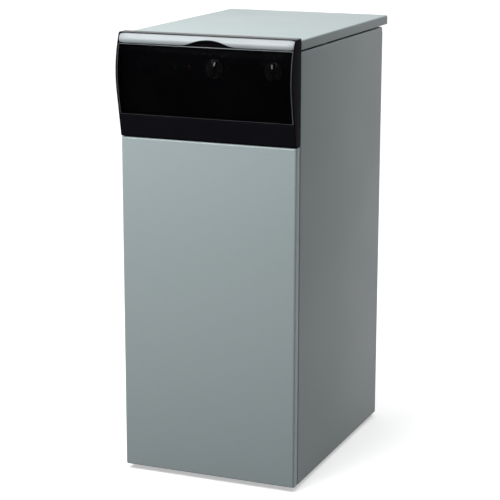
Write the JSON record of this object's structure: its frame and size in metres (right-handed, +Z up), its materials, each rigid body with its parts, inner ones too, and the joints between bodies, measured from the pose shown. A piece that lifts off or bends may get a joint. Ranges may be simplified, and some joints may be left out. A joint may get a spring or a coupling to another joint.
{
  "type": "floor standing gas boiler",
  "caption": "Slim floor standing gas boiler: cast iron exchanger, lift-off door and cover, bulged black fascia with a smoked drop down flap over its controls, rear flue and pipe ends.",
  "frame": {"origin": "on the floor, at the centre of the whole boiler's box in X and Y", "axes": "+Z up, front with the door and controls towards -Y, flue and pipe ends towards +Y"},
  "size_m": [0.35, 0.6004, 0.853],
  "materials": {
    "grey_paint": "satin metallic grey paint",
    "plain_steel": "dull zinc coated steel",
    "black_plastic": "fine grained matt",
    "silver_plastic": "satin silver",
    "smoked_plastic": "polished dark smoke",
    "dark_panel": "matt",
    "knob_plastic": "satin",
    "white_plastic": "matt",
    "red_plastic": "satin",
    "cast_iron": "rough as cast",
    "brass": "plain",
    "copper": "drawn copper",
    "clear_glass": "polished",
    "wool": "mineral wool with a plain facing",
    "rubber": "matt"
  },
  "bodies": {
    "casing": {"left_side_panel": "grey_paint", "right_side_panel": "grey_paint", "base_tray": "plain_steel", "lower_rear_panel": "plain_steel", "upper_rear_panel": "plain_steel", "upper_crossbar": "plain_steel", "lower_crossbar": "plain_steel", "control_box": "plain_steel", "tie_rod_left": "plain_steel", "tie_rod_right": "plain_steel", "combustion_chamber": "plain_steel", "flue_hood": "plain_steel", "flue_collar": "plain_steel", "flow_pipe": "plain_steel", "return_pipe": "plain_steel", "burner_front_plate": "plain_steel", "burner_bar_left": "plain_steel", "burner_bar_middle": "plain_steel", "burner_bar_right": "plain_steel", "gas_valve": "plain_steel", "gas_pipe": "plain_steel", "fascia_frame": "black_plastic", "gauge_case": "black_plastic", "cable_gland": "black_plastic", "fascia_trim": "silver_plastic", "control_plate": "dark_panel", "door_clip_lower_left": "white_plastic", "door_clip_lower_right": "white_plastic", "door_clip_upper_left": "white_plastic", "door_clip_upper_right": "white_plastic", "thermostat_body": "white_plastic", "selector_switch": "white_plastic", "ignition_unit": "white_plastic", "lockout_lamp": "red_plastic", "front_section": "cast_iron", "middle_section_1": "cast_iron", "middle_section_2": "cast_iron", "rear_section": "cast_iron", "drain_cock": "brass", "thermostat_pocket": "brass", "gas_manifold": "brass", "pilot_burner": "brass", "capillary_tube": "copper", "gauge_glass": "clear_glass", "sight_glass": "clear_glass", "insulation_jacket": "wool", "foot_front_left": "rubber", "foot_front_right": "rubber", "foot_rear_left": "rubber", "foot_rear_right": "rubber"},
    "door": {"front_door": "grey_paint"},
    "cover": {"top_cover": "grey_paint"},
    "flap": {"control_flap": "smoked_plastic"},
    "temperature_control": {"temperature_knob": "knob_plastic", "temperature_shaft": "plain_steel"},
    "selector_control": {"selector_knob": "knob_plastic", "selector_shaft": "plain_steel"},
    "needle": {"gauge_needle": "red_plastic"},
    "button": {"reset_button": "knob_plastic"},
    "spindle": {"drain_spindle": "brass"}
  },
  "joints": [
    {"name": "door_pull", "type": "slide", "parent": "casing", "child": "door", "axis": [0, -1, 0], "range_m": [0, 0.3]},
    {"name": "cover_lift", "type": "slide", "parent": "casing", "child": "cover", "axis": [0, 0, 1], "range_m": [0, 0.2]},
    {"name": "flap_hinge", "type": "hinge", "parent": "casing", "child": "flap", "pos_m": [0, -0.28587, 0.7042], "axis": [1, 0, 0], "range_deg": [0, 90]},
    {"name": "temperature_turn", "type": "hinge", "parent": "casing", "child": "temperature_control", "pos_m": [0.01701, -0.2808, 0.7934], "axis": [0, 1, 0], "range_deg": [-150, 120]},
    {"name": "selector_turn", "type": "hinge", "parent": "casing", "child": "selector_control", "pos_m": [0.132, -0.2808, 0.7934], "axis": [0, 1, 0], "range_deg": [-60, 60]},
    {"name": "needle_turn", "type": "hinge", "parent": "casing", "child": "needle", "pos_m": [-0.118, -0.2808, 0.7934], "axis": [0, 1, 0], "range_deg": [0, 240]},
    {"name": "button_press", "type": "slide", "parent": "casing", "child": "button", "axis": [0, 1, 0], "range_m": [0, 0.0025], "stiffness_N_per_m": 300},
    {"name": "spindle_turn", "type": "hinge", "parent": "casing", "child": "spindle", "pos_m": [0.088, -0.2398, 0.25], "axis": [0, -1, 0], "range_deg": [0, 360]}
  ]
}
